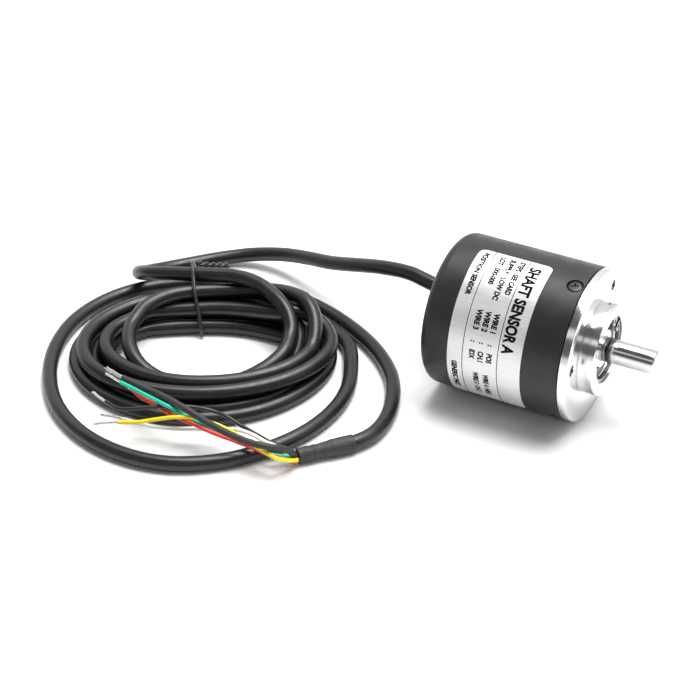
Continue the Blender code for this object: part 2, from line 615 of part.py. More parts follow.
def make_coil(jacket):
    """The tight turns as one oval ring with chamfered edges."""
    edge = COIL_CHAMFER
    low, high = COIL_Z
    section = [(COIL_INNER, 0.0, low + edge), (COIL_INNER, 0.0, high - edge), (COIL_INNER, edge, high),
               (COIL_OUTER, -edge, high), (COIL_OUTER, 0.0, high - edge), (COIL_OUTER, 0.0, low + edge),
               (COIL_OUTER, -edge, low), (COIL_INNER, edge, low)]
    form = bmesh.new()
    rings = []
    for step in range(SIDES):
        angle = 2.0 * math.pi * step / SIDES
        ring = []
        for half, inset, z in section:
            x = (half[0] + inset) * math.cos(angle)
            y = (half[1] + inset) * math.sin(angle)
            ring.append(form.verts.new((x, y, z)))
        rings.append(ring)
    for step in range(SIDES):
        for index in range(len(section)):
            form.faces.new((rings[step - 1][index - 1], rings[step - 1][index],
                            rings[step][index], rings[step][index - 1]))
    coil = add_mesh("cable_coil", form, jacket, location=COIL_CENTRE)
    coil.rotation_euler.z = COIL_ANGLE


def make_sleeve(shrink):
    """Heat-shrink sleeve over the end of the jacket, stepped down onto the leads."""
    start, end = [coil_point(point) for point in SLEEVE_ROUTE]
    length = (end - start).length
    wide, narrow = SLEEVE_R
    outline = [(0.0, 0.0), (0.0, wide), (0.45 * length, wide), (0.55 * length, narrow),
               (length, narrow), (length, 0.0)]
    sleeve = turned("heat_shrink_sleeve", outline, shrink, sides=SMALL_SIDES, location=start)
    sleeve.rotation_euler.z = math.atan2(end.y - start.y, end.x - start.x)


def make_cable(jacket, tie):
    run = [coil_point(point) for point in smooth_route(RUN_ROUTE, 28)]
    run[0] = Vector((FACE_X + GLAND_TIP_X - GAP, EXIT_Y, BODY_R))
    run.insert(1, run[0] - Vector((CABLE_R, 0.0, 0.0)))
    tube("cable_run", run, CABLE_R, jacket)
    tail = [coil_point(point) for point in smooth_route(LOOP_ROUTE, 36)]
    sleeve_start, sleeve_end = [coil_point(point) for point in SLEEVE_ROUTE]
    away = (sleeve_start - sleeve_end).normalized()
    tail[-1] = sleeve_start + away * CABLE_R
    tail.append(sleeve_start + away * GAP)
    tube("cable_tail", tail, CABLE_R, jacket)
    tube("twist_tie", [coil_point(point) for point in smooth_route(TIE_ROUTE, 14)], TIE_R, tie)
    tube("twist_tie_twist", [coil_point(point) for point in smooth_route(TIE_TWIST_ROUTE, 6)], TIE_R, tie)


def make_leads(shrink):
    sleeve_start, sleeve_end = [coil_point(point) for point in SLEEVE_ROUTE]
    onward = (sleeve_end - sleeve_start).normalized()
    for name, route in LEAD_ROUTES.items():
        points = [coil_point(point) for point in smooth_route(route, LEAD_POINTS)]
        points.insert(1, points[0] + onward * LEAD_R)
        if name == "shield_lead":
            tube(name, points, SHIELD_LEAD_R, shrink)
        else:
            tube(name, points, LEAD_R, finish(name, LEAD_COLOURS[name], 0.4, 0.0))


def main():
    clear_scene()
    black = finish("black_coat", (0.03, 0.03, 0.032), 0.45, 0.0)
    aluminium = finish("machined_aluminium", (0.86, 0.87, 0.88), 0.25, 1.0)
    steel = finish("ground_steel", (0.75, 0.76, 0.78), 0.18, 1.0)
    shield_steel = finish("pressed_steel", (0.62, 0.63, 0.65), 0.3, 1.0)
    black_steel = finish("blackened_steel", (0.04, 0.04, 0.045), 0.4, 0.8)
    brass = finish("brass", (0.78, 0.6, 0.3), 0.3, 1.0)
    glass = finish("disc_glass", (0.75, 0.82, 0.85), 0.05, 0.0)
    clear = finish("clear_resin", (0.85, 0.88, 0.92), 0.1, 0.0)
    rubber = finish("rubber", (0.03, 0.03, 0.03), 0.7, 0.0)
    green = finish("board_laminate", (0.02, 0.22, 0.1), 0.5, 0.0)
    chip = finish("chip_resin", (0.04, 0.04, 0.04), 0.5, 0.0)
    nylon = finish("nylon", (0.85, 0.83, 0.76), 0.5, 0.0)
    foil = finish("label_foil", (0.8, 0.8, 0.8), 0.35, 0.9)
    jacket = finish("cable_jacket", (0.035, 0.035, 0.037), 0.5, 0.0)
    shrink = finish("shrink_tube", (0.03, 0.03, 0.03), 0.6, 0.0)
    tie = finish("tie_coat", (0.04, 0.04, 0.04), 0.35, 0.0)
    make_cover(black)
    make_flange(aluminium)
    make_cover_screws(black_steel)
    make_o_ring(rubber)
    make_circlip(steel)
    make_bearings(steel, brass, shield_steel)
    make_preload(steel)
    make_shaft(steel)
    make_disc(brass, glass, black_steel)
    make_optics(black, clear, chip)
    make_board(green, chip, nylon, steel, brass)
    make_gland(rubber, jacket)
    make_label(foil)
    make_coil(jacket)
    make_cable(jacket, tie)
    make_sleeve(shrink)
    make_leads(shrink)


main()
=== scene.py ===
"""The rotary encoder's visible surfaces, its cable and leads, and a pale studio around them."""
import json
import math

import bmesh
import bpy
import numpy as np
from mathutils import Matrix, Vector, noise


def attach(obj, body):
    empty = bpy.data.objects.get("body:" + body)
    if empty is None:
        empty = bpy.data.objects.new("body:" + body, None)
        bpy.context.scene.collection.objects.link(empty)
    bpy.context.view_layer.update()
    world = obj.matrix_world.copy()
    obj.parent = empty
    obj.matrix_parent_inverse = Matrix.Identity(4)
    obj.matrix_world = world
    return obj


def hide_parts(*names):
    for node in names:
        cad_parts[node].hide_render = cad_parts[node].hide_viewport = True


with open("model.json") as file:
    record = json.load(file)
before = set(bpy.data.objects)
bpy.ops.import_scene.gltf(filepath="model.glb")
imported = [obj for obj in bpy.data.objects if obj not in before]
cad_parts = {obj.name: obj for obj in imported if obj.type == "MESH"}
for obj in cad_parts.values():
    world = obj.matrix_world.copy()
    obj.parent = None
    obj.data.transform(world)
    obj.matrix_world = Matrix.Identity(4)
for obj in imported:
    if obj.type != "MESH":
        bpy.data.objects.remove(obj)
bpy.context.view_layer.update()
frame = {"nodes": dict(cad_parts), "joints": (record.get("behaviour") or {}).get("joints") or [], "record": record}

MM = 0.001
MOUNTS = {mount["name"]: mount["pos_m"] for mount in frame["record"]["mounts"]}
FACE_X = MOUNTS["flange_face"][0]
AXIS_Z = frame["joints"][0]["pos_m"][2]
CENTRE = Matrix.Translation((FACE_X, 0.0, AXIS_Z))
SIDES = 192
GLAND_Y = 8.0

# ---------------------------------------------------------------- camera


def add_camera():
    yaw = math.radians(117.56)
    pitch = math.radians(-34.74)
    data = bpy.data.cameras.new("camera")
    data.lens = 105.2
    data.sensor_width = 36.0
    data.clip_start = 0.01
    data.dof.use_dof = False
    camera = bpy.data.objects.new("camera", data)
    camera.location = (0.19395, -0.5053, 0.3908)
    ahead = Vector((math.cos(pitch) * math.cos(yaw), math.cos(pitch) * math.sin(yaw), math.sin(pitch)))
    camera.rotation_mode = "QUATERNION"
    camera.rotation_quaternion = ahead.to_track_quat("-Z", "Y")
    bpy.context.scene.collection.objects.link(camera)
    bpy.context.scene.camera = camera


add_camera()

# ---------------------------------------------------------------- materials


def shader(name, colour, roughness, metallic=0.0, **sockets):
    material = bpy.data.materials.new(name)
    material.use_nodes = True
    principled = material.node_tree.nodes["Principled BSDF"]
    principled.inputs["Base Color"].default_value = (*colour, 1.0)
    principled.inputs["Roughness"].default_value = roughness
    principled.inputs["Metallic"].default_value = metallic
    for socket, value in sockets.items():
        principled.inputs[socket.replace("_", " ")].default_value = value
    return material


def math_node(tree, operation, first, second=None):
    node = tree.nodes.new("ShaderNodeMath")
    node.operation = operation
    for slot, value in zip(node.inputs, (first, second)):
        if isinstance(value, bpy.types.NodeSocket):
            tree.links.new(value, slot)
        elif value is not None:
            slot.default_value = value
    return node.outputs[0]


def place_coordinates(tree):
    return tree.nodes.new("ShaderNodeTexCoord").outputs["Object"]


def turned_coordinates(tree):
    """Place along the encoder's axis and distance from it, so that marks run round it."""
    split = tree.nodes.new("ShaderNodeSeparateXYZ")
    tree.links.new(place_coordinates(tree), split.inputs[0])
    height = math_node(tree, "SUBTRACT", split.outputs["Z"], AXIS_Z)
    across = math_node(tree, "MULTIPLY", split.outputs["Y"], split.outputs["Y"])
    above = math_node(tree, "MULTIPLY", height, height)
    radius = math_node(tree, "SQRT", math_node(tree, "ADD", across, above))
    join = tree.nodes.new("ShaderNodeCombineXYZ")
    tree.links.new(split.outputs["X"], join.inputs["X"])
    tree.links.new(radius, join.inputs["Y"])
    return join.outputs[0]


def noise_node(tree, coordinates, scale, detail=3.0, stretch=(1.0, 1.0, 1.0)):
    mapping = tree.nodes.new("ShaderNodeMapping")
    mapping.inputs["Scale"].default_value = stretch
    tree.links.new(coordinates, mapping.inputs["Vector"])
    texture = tree.nodes.new("ShaderNodeTexNoise")
    texture.inputs["Scale"].default_value = scale
    texture.inputs["Detail"].default_value = detail
    tree.links.new(mapping.outputs[0], texture.inputs["Vector"])
    return texture.outputs["Fac"]


def ranged(tree, value, low, high, start=0.3, end=0.7):
    node = tree.nodes.new("ShaderNodeMapRange")
    node.inputs["From Min"].default_value = start
    node.inputs["From Max"].default_value = end
    node.inputs["To Min"].default_value = low
    node.inputs["To Max"].default_value = high
    tree.links.new(value, node.inputs["Value"])
    return node.outputs[0]


def vary_roughness(material, value, low, high):
    tree = material.node_tree
    tree.links.new(ranged(tree, value, low, high), tree.nodes["Principled BSDF"].inputs["Roughness"])


# The Mix node's colour sockets, which share their names with its other sockets.
MIX_DARK, MIX_LIGHT, MIX_RESULT = 6, 7, 2


def vary_colour(material, value, dark, light):
    tree = material.node_tree
    mix = tree.nodes.new("ShaderNodeMix")
    mix.data_type = "RGBA"
    tree.links.new(ranged(tree, value, 0.0, 1.0), mix.inputs["Factor"])
    mix.inputs[MIX_DARK].default_value = (*dark, 1.0)
    mix.inputs[MIX_LIGHT].default_value = (*light, 1.0)
    tree.links.new(mix.outputs[MIX_RESULT], tree.nodes["Principled BSDF"].inputs["Base Color"])


def bump(material, value, height):
    """Relief of a height in metres. Several calls add up."""
    tree = material.node_tree
    principled = tree.nodes["Principled BSDF"]
    node = tree.nodes.new("ShaderNodeBump")
    node.inputs["Distance"].default_value = height
    tree.links.new(value, node.inputs["Height"])
    before = principled.inputs["Normal"].links
    if before:
        tree.links.new(before[0].from_socket, node.inputs["Normal"])
    tree.links.new(node.outputs[0], principled.inputs["Normal"])


def coated_metal(name):
    """Satin black coating with a fine grain and faint rubbed patches."""
    material = shader(name, (0.014, 0.014, 0.015), 0.42, Specular_IOR_Level=0.4)
    tree = material.node_tree
    place = place_coordinates(tree)
    patches = noise_node(tree, place, 90.0, 5.0)
    vary_colour(material, patches, (0.010, 0.010, 0.011), (0.018, 0.018, 0.019))
    vary_roughness(material, noise_node(tree, place, 260.0, 6.0), 0.36, 0.50)
    bump(material, noise_node(tree, place, 5200.0, 2.0), 0.000006)
    bump(material, noise_node(tree, place, 900.0, 3.0), 0.000010)
    return material


def turned_metal(name, colour, low, high, depth):
    """Machined metal with fine marks that run round the axis."""
    material = shader(name, colour, low, 1.0)
    tree = material.node_tree
    marks = noise_node(tree, turned_coordinates(tree), 5200.0, 2.0)
    vary_roughness(material, noise_node(tree, place_coordinates(tree), 240.0, 4.0), low, high)
    bump(material, marks, depth)
    return material


def plain_metal(name, colour, low, high, scale=900.0, depth=0.000004):
    material = shader(name, colour, low, 1.0)
    tree = material.node_tree
    place = place_coordinates(tree)
    vary_roughness(material, noise_node(tree, place, scale, 4.0), low, high)
    vary_colour(material, noise_node(tree, place, scale / 3.0, 4.0),
                tuple(0.86 * value for value in colour), colour)
    bump(material, noise_node(tree, place, scale * 3.0, 2.0), depth)
    return material


def plastic(name, colour, low, high, scale=700.0, depth=0.000008, spread=0.75, **sockets):
    material = shader(name, colour, low, **sockets)
    tree = material.node_tree
    place = place_coordinates(tree)
    vary_roughness(material, noise_node(tree, place, scale, 4.0), low, high)
    vary_colour(material, noise_node(tree, place, scale / 4.0, 4.0),
                tuple(spread * value for value in colour), colour)
    bump(material, noise_node(tree, place, scale * 4.0, 2.0), depth)
    return material


def foil(name):
    """Silver label stock: brushed along the axis, under a satin varnish."""
    material = shader(name, (0.70, 0.70, 0.70), 0.36, 0.55)
    tree = material.node_tree
    brushed = noise_node(tree, place_coordinates(tree), 2600.0, 3.0, (0.04, 1.0, 1.0))
    vary_colour(material, brushed, (0.68, 0.68, 0.685), (0.78, 0.78, 0.785))
    vary_roughness(material, brushed, 0.32, 0.44)
    bump(material, brushed, 0.000003)
    return material


def clear(name, colour, roughness, ior):
    material = shader(name, colour, roughness, IOR=ior, Transmission_Weight=0.9)
    tree = material.node_tree
    bump(material, noise_node(tree, place_coordinates(tree), 1200.0, 2.0), 0.000002)
    return material


MATERIALS = {
    "black_coat": coated_metal("black_coat"),
    "machined_aluminium": turned_metal("machined_aluminium", (0.78, 0.78, 0.79), 0.12, 0.20, 0.0000014),
    "steel": turned_metal("ground_steel", (0.60, 0.60, 0.61), 0.10, 0.18, 0.0000012),
    # Much darker than the ground steel: partly the pressed steel's own grey, partly painted shade for the bearing
    # shield's recess.
    "pressed_steel": plain_metal("pressed_steel", (0.24, 0.24, 0.25), 0.24, 0.38),
    "blackened_steel": plain_metal("blackened_steel", (0.05, 0.05, 0.052), 0.30, 0.48),
    "brass": turned_metal("brass", (0.80, 0.60, 0.30), 0.22, 0.34, 0.000003),
    "disc_glass": clear("disc_glass", (0.86, 0.91, 0.92), 0.03, 1.5),
    "clear_resin": clear("clear_resin", (0.93, 0.95, 0.97), 0.08, 1.52),
    "rubber": plastic("rubber", (0.022, 0.022, 0.022), 0.55, 0.75),
    "board_laminate": plastic("board_laminate", (0.012, 0.16, 0.07), 0.35, 0.55),
    "black_plastic": plastic("black_plastic", (0.022, 0.022, 0.024), 0.40, 0.55),
    "nylon": plastic("nylon", (0.80, 0.78, 0.70), 0.40, 0.55, spread=0.92),
    "label_foil": foil("label_foil"),
    "cable_jacket": plastic("cable_jacket", (0.010, 0.010, 0.011), 0.27, 0.40, 420.0, 0.000010),
    "shrink_tube": plastic("shrink_tube", (0.030, 0.030, 0.030), 0.50, 0.68, 600.0, 0.00003),
    "lead_green": plastic("lead_green", (0.0, 0.56, 0.38), 0.28, 0.40, spread=0.9),
    "lead_red": plastic("lead_red", (0.80, 0.055, 0.025), 0.28, 0.40, spread=0.9),
    "lead_yellow": plastic("lead_yellow", (0.90, 0.70, 0.010), 0.28, 0.40, spread=0.92),
    "lead_white": plastic("lead_white", (0.86, 0.86, 0.83), 0.28, 0.40, spread=0.95),
    "lead_black": plastic("lead_black", (0.016, 0.016, 0.018), 0.26, 0.38),
    "tie_coat": plastic("tie_coat", (0.035, 0.035, 0.036), 0.26, 0.40),
}
SPRING_STEEL = turned_metal("spring_steel", (0.26, 0.26, 0.27), 0.20, 0.32, 0.0000012)
# Dark copy of the aluminium for the mounting holes' threads: painted shade inside the holes, not the metal's own
# colour.
HOLE_SHADE_METAL = plain_metal("aluminium_painted_hole_shade", (0.16, 0.16, 0.165), 0.35, 0.5)
TINNED = plain_metal("tinned_copper", (0.86, 0.84, 0.80), 0.22, 0.38, 2200.0)
INK = plastic("printing_ink", (0.006, 0.006, 0.006), 0.55, 0.70, Specular_IOR_Level=0.05)

# ---------------------------------------------------------------- shapes


def link(item):
    bpy.context.scene.collection.objects.link(item)
    return item


def mesh_of(form, name, angle):
    mesh = bpy.data.meshes.new(name)
    form.to_mesh(mesh)
    form.free()
    mesh.shade_smooth()
    mesh.set_sharp_from_angle(angle=math.radians(angle))
    return mesh


def dress(piece, slot, nodes=(), body="encoder", material=None):
    """Gives a piece its material, taken from its slot unless one is given, attaches it to its body and hides the
    CAD nodes that it stands for.
    """
    piece.data.materials.append(material or MATERIALS[slot])
    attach(piece, body)
    if nodes:
        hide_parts(*nodes)
    return piece


def add_piece(name, form, slot, nodes=(), body="encoder", material=None, matrix=CENTRE, angle=30.0):
    """A piece from a form that is laid out round the encoder's axis, x from the mounting face."""
    bmesh.ops.recalc_face_normals(form, faces=form.faces)
    form.transform(matrix)
    if form.calc_volume(signed=True) < 0.0:
        bmesh.ops.reverse_faces(form, faces=form.faces)
    return dress(link(bpy.data.objects.new(name, mesh_of(form, name, angle))), slot, nodes, body, material)


def turned_form(outline, sides=SIDES):
    """Turn a closed outline of (x, radius) points, in millimetres, once about the X axis."""
    form = bmesh.new()
    loop = [form.verts.new((x * MM, radius * MM, 0.0)) for x, radius in outline]
    edges = []
    for index, (_, radius) in enumerate(outline):
        if radius > 0.0 or outline[index - 1][1] > 0.0:
            edges.append(form.edges.new((loop[index - 1], loop[index])))
    bmesh.ops.spin(form, geom=loop + edges, axis=(1.0, 0.0, 0.0), cent=(0.0, 0.0, 0.0),
                   angle=2.0 * math.pi, steps=sides, use_merge=True)
    bmesh.ops.remove_doubles(form, verts=form.verts, dist=1e-7)
    return form


def arc(x, radius, size, start, end, steps=6):
    """Outline points on an arc about (x, radius), between two angles in degrees."""
    points = []
    for step in range(steps + 1):
        angle = math.radians(start + (end - start) * step / steps)
        points.append((x + size * math.cos(angle), radius + size * math.sin(angle)))
    return points


def outward(degrees, x):
    """Takes +X to the direction away from the axis, at an angle from +Y towards +Z."""
    lean = Matrix.Rotation(math.radians(degrees), 4, "X") @ Matrix.Rotation(math.radians(90.0), 4, "Z")
    return Matrix.Translation((x * MM, 0.0, 0.0)) @ lean


def around(radius, degrees, x=0.0):
    """Moves a form off the axis by a radius, at an angle from +Y towards +Z."""
    angle = math.radians(degrees)
    return Matrix.Translation((x * MM, radius * MM * math.cos(angle), radius * MM * math.sin(angle)))


def merge(form, other, matrix):
    """Adds another form's faces to a form, moved by a matrix, and frees the other."""
    other.transform(matrix)
    mesh = bpy.data.meshes.new("scratch")
    other.to_mesh(mesh)
    other.free()
    form.from_mesh(mesh)
    bpy.data.meshes.remove(mesh)


def carve(form, cutter, operation="DIFFERENCE"):
    """The form with a cutter taken out of it, or welded to it."""
    objects = []
    for name, part in (("carved", form), ("cutter", cutter)):
        bmesh.ops.recalc_face_normals(part, faces=part.faces)
        if part.calc_volume(signed=True) < 0.0:
            bmesh.ops.reverse_faces(part, faces=part.faces)
        mesh = bpy.data.meshes.new(name)
        part.to_mesh(mesh)
        part.free()
        objects.append(link(bpy.data.objects.new(name, mesh)))
    boolean = objects[0].modifiers.new("cut", "BOOLEAN")
    boolean.operation = operation
    boolean.solver = "EXACT"
    boolean.object = objects[1]
    graph = bpy.context.evaluated_depsgraph_get()
    result = bpy.data.meshes.new_from_object(objects[0].evaluated_get(graph))
    carved = bmesh.new()
    carved.from_mesh(result)
    for item in objects:
        bpy.data.objects.remove(item, do_unlink=True)
    bpy.data.meshes.remove(result)
    return carved


def rod(low, high, radius):
    """The outline of a plain rod, for turned_form."""
    return [(low, 0.0), (low, radius), (high, radius), (high, 0.0)]


def box_form(low, high):
    """A box between two corners, in millimetres."""
    form = bmesh.new()
    bmesh.ops.create_cube(form, size=1.0)
    low = Vector(low) * MM
    high = Vector(high) * MM
    bmesh.ops.scale(form, verts=form.verts, vec=high - low)
    bmesh.ops.translate(form, verts=form.verts, vec=(low + high) / 2.0)
    return form


# ---------------------------------------------------------------- cable

CABLE_R = 2.5
EXIT = Vector((FACE_X - 55.2 * MM, GLAND_Y * MM, AXIS_Z))
COIL_CENTRE = Vector((-106.15 * MM, -33.5 * MM, 0.0))
COIL_TURN = Matrix.Rotation(math.radians(27.5), 3, "Z")
FLOOR_GAP = 0.1

# Routes in millimetres, in the coil's own frame: along its long axis, across it, and up.
RUN_ROUTE = [
    (77.0, 6.7, 25.0), (72.6, 10.2, 25.4), (66.9, 15.0, 25.4), (57.3, 22.9, 22.6),
    (42.3, 37.4, 14.9), (34.4, 45.6, 11.5), (26.7, 53.0, 8.3), (18.9, 57.9, 5.7), (10.8, 60.1, 3.9),
    (0.0, 58.9, 2.9), (-9.0, 56.0, 2.7), (-16.5, 52.4, 3.2), (-22.5, 47.6, 4.8), (-25.4, 41.4, 8.2),
    (-21.6, 34.6, 12.0), (-13.8, 30.9, 14.0), (-6.8, 28.9, 14.8), (0.1, 27.5, 15.2), (7.0, 26.2, 15.4),
    (13.7, 23.2, 15.4), (18.3, 19.8, 15.3), (21.6, 16.0, 15.0), (24.8, 11.8, 14.4), (27.4, 7.4, 13.2),
    (28.8, 2.6, 11.2), (28.6, -1.6, 9.2),
]
# Each turn's distance from the middle and its height, at the back, the right, the front and the left.
TURNS = [
    ((33.2, 13.2), (29.0, 9.5), (20.3, 2.6), (25.4, 9.0)),
    ((28.7, 10.6), (36.2, 7.7), (23.9, 7.6), (33.0, 7.6)),
    ((19.8, 7.6), (41.5, 7.7), (28.9, 7.8), (40.3, 7.6)),
    ((28.3, 7.6), (30.5, 2.6), (25.3, 2.6), (32.0, 2.6)),
    ((18.7, 2.6), (35.6, 2.6), (30.3, 2.6), (37.2, 2.6)),
    ((23.8, 2.6), (40.7, 2.6), (35.3, 2.6), (43.0, 2.6)),
]
LAST_BACK = (29.5, 2.6)
# The ovals are walked in steps, from just past the first turn's right to just past the last turn's back.
FIRST_STEP, STEPS_IN_TURN, EXTRA_STEPS = 18, 60, 4
# Stretches that are laid from listed points instead: first and last turn count, and the points between.
PATCHES = [
    (0.80, 1.27, [
        (-23.8, 8.6, 10.6), (-20.6, 14.6, 11.4), (-15.6, 19.4, 11.8), (-9.8, 22.0, 11.8),
        (-2.4, 23.4, 11.6), (4.5, 24.0, 11.4), (13.9, 23.6, 11.6), (23.4, 21.2, 12.2), (30.2, 14.8, 13.0),
        (34.5, 8.2, 12.6), (36.5, 1.2, 10.8)]),
    (1.88, 2.26, [
        (-19.8, 18.3, 7.6), (-13.2, 19.2, 7.6), (-6.4, 19.3, 7.6), (0.4, 19.5, 7.6), (7.2, 19.0, 7.6),
        (14.0, 17.4, 7.6), (19.1, 15.6, 7.8), (24.6, 13.2, 8.6), (30.0, 12.4, 9.4), (35.4, 11.4, 9.0),
        (39.4, 7.8, 8.0), (41.4, 1.8, 7.7)]),
    (2.98, 3.26, [
        (0.0, 28.3, 7.6), (9.0, 27.0, 7.4), (17.0, 23.6, 6.8), (23.8, 18.2, 5.6), (28.4, 13.0, 4.2),
        (30.8, 7.6, 3.0), (31.0, 1.2, 2.6)]),
    (3.88, 4.2, [
        (-23.2, 14.5, 2.6), (-13.2, 16.3, 2.6), (-3.1, 16.9, 2.6), (7.1, 16.7, 2.6), (13.9, 15.2, 2.6),
        (20.8, 12.6, 2.6), (28.0, 9.4, 2.6), (33.4, 5.4, 2.6)]),
]
LOOP_ROUTE = [
    (46.8, 5.7, 2.6), (48.0, -6.0, 2.6), (46.8, -20.0, 2.6), (42.0, -32.0, 2.6), (33.5, -43.0, 2.6),
    (22.0, -51.5, 2.6), (8.0, -57.5, 2.6), (-8.0, -58.8, 2.6), (-23.0, -54.0, 2.6), (-36.0, -44.0, 2.6),
    (-45.5, -30.0, 2.6), (-50.2, -14.0, 2.6), (-50.6, 3.0, 2.6), (-46.3, 19.0, 2.6), (-37.0, 32.0, 2.6),
    (-24.5, 40.2, 2.6), (-9.0, 43.3, 2.6), (7.0, 42.7, 2.6), (22.0, 38.6, 2.6), (35.5, 29.7, 2.6),
    (47.0, 17.5, 2.6), (56.0, 3.5, 2.6), (61.0, -11.0, 2.6), (61.5, -24.0, 2.6), (59.2, -36.0, 2.7),
    (54.6, -44.4, 2.9), (49.2, -48.7, 3.0),
]
SLEEVE_ROUTE = [(48.9, -48.9, 3.0), (31.5, -55.5, 3.0)]


def coil_point(point):
    return COIL_CENTRE + COIL_TURN @ (Vector(point) * MM)


def catmull(before, first, last, after, t):
    """A value on the smooth curve between first and last, a share t of the way along."""
    squared = (2.0 * before - 5.0 * first + 4.0 * last - after) * t ** 2
    cubed = (3.0 * first - before - 3.0 * last + after) * t ** 3
    return 0.5 * (2.0 * first + (last - before) * t + squared + cubed)


def resample(points, spacing):
    """Evenly spaced points along a line of points."""
    points = np.asarray(points, float)
    along = np.concatenate([[0.0], np.cumsum(np.linalg.norm(np.diff(points, axis=0), axis=1))])
    count = max(2, round(along[-1] / spacing) + 1)
    goals = np.linspace(0.0, along[-1], count)
    return np.stack([np.interp(goals, along, points[:, axis]) for axis in range(3)], axis=1)


def smooth_route(route, spacing):
    """Evenly spaced points on a smooth curve through a route's own points."""
    knots = np.asarray(route, float)
    knots = np.vstack([2.0 * knots[0] - knots[1], knots, 2.0 * knots[-1] - knots[-2]])
    dense = []
    for index in range(1, len(knots) - 2):
        for step in range(24):
            dense.append(catmull(*knots[index - 1:index + 3], step / 24.0))
    dense.append(knots[-2])
    return resample(dense, spacing)


def between(values, place):
    """The smooth value at a place, counted in list entries."""
    place = min(max(place, 0.0), len(values) - 1.001)
    index = int(place)
    pick = [values[min(max(index + shift, 0), len(values) - 1)] for shift in (-1, 0, 1, 2)]
    return catmull(*pick, place - index)


def coil_route():
    """The tight turns as points in the coil's frame, from the right of the first turn to the last's back."""
    quarters = [quarter for turn in TURNS for quarter in turn] + [LAST_BACK]
    heights = [height for size, height in quarters]
    halves = [size for size, height in quarters]
    points = []
    laid = []
    steps = STEPS_IN_TURN * len(TURNS)
    for step in range(FIRST_STEP, steps + EXTRA_STEPS):
        turn = len(TURNS) * step / steps
        patch = next((patch for patch in PATCHES if patch[0] <= turn <= patch[1]), None)
        if patch:
            if patch not in laid:
                points += patch[2]
                laid.append(patch)
            continue
        angle = 2.0 * math.pi * turn
        # The oval's two half-lengths each change slowly from one crossing of their axis to the next.
        long_half = between(halves[1::2], (turn * 4.0 - 1.0) / 2.0)
        short_half = between(halves[0::2], turn * 2.0)
        height = between(heights, turn * 4.0)
        points.append((long_half * math.sin(angle), short_half * math.cos(angle), height))
    return points


def settle(points, radius, rounds=240):
    """Push a line's own strands apart until they only touch, and keep them above the floor."""
    start = points.copy()
    shift = np.zeros_like(points)
    count = len(points)
    index = np.arange(count)
    spacing = np.linalg.norm(np.diff(points, axis=0), axis=1).mean()
    skip = int(4.0 * radius / spacing) + 1
    hold = np.clip(np.minimum(index, count - 1 - index) / 8.0, 0.0, 1.0)[:, None]
    for turn in range(rounds):
        now = start + shift
        if turn % 12 == 0:
            gaps = np.linalg.norm(now[:, None, :] - now[None, :, :], axis=2)
            first, second = np.nonzero((gaps < 4.0 * radius) & (index[None, :] - index[:, None] >= skip))
        delta = now[first] - now[second]
        distance = np.linalg.norm(delta, axis=1) + 1e-9
        lack = np.clip(2.0 * radius + 0.04 - distance, 0.0, None)
        push = delta / distance[:, None] * lack[:, None]
        total = np.zeros_like(points)
        np.add.at(total, first, push)
        np.add.at(total, second, -push)
        worst = np.zeros(count)
        np.maximum.at(worst, first, lack)
        np.maximum.at(worst, second, lack)
        size = np.linalg.norm(total, axis=1) + 1e-9
        shift = shift + total * (np.minimum(size, worst) / size * 0.5)[:, None] * hold
        for _ in range(3 if turn < rounds * 0.8 else int(turn < rounds - 12)):
            shift[1:-1] = 0.25 * shift[:-2] + 0.5 * shift[1:-1] + 0.25 * shift[2:]
        shift[:, 2] = np.maximum(shift[:, 2], radius + FLOOR_GAP - start[:, 2])
    return start + shift


def cable_route():
    start, end = [Vector(point) for point in SLEEVE_ROUTE]
    into_sleeve = start.lerp(end, 0.3)
    gland = COIL_TURN.inverted() @ (EXIT - COIL_CENTRE) / MM
    ahead = COIL_TURN.inverted() @ Vector((-1.0, 0.0, 0.0))
    knots = [tuple(gland), tuple(gland + 2.5 * ahead)] + RUN_ROUTE + resample(coil_route(), 5.0).tolist()
    knots += [(30.0, 22.6, 2.6), (40.0, 14.8, 2.6)] + LOOP_ROUTE + [tuple(start), tuple(into_sleeve)]
    return settle(smooth_route(knots, 2.2), CABLE_R)


def round_lines(name, lines, radii, slot, nodes=(), resolution=4, material=None):
    """Round lines as one piece. Radii are in millimetres, one for each point or one for all."""
    curve = bpy.data.curves.new(name, "CURVE")
    curve.dimensions = "3D"
    curve.bevel_depth = 1.0
    curve.bevel_resolution = resolution
    curve.use_fill_caps = True
    for line in lines:
        spline = curve.splines.new("POLY")
        spline.points.add(len(line) - 1)
        sizes = radii if isinstance(radii, list) else [radii] * len(line)
        for control, point, size in zip(spline.points, line, sizes):
            control.co = (*point, 1.0)
            control.radius = size * MM
    return dress(link(bpy.data.objects.new(name, curve)), slot, nodes, material=material)


cable_points = [coil_point(point) for point in cable_route()]
cable = round_lines("cable", [cable_points], CABLE_R, "cable_jacket",
                    ("cable_run", "cable_coil", "cable_tail"), resolution=6)

# ---------------------------------------------------------------- sleeve, leads, tie

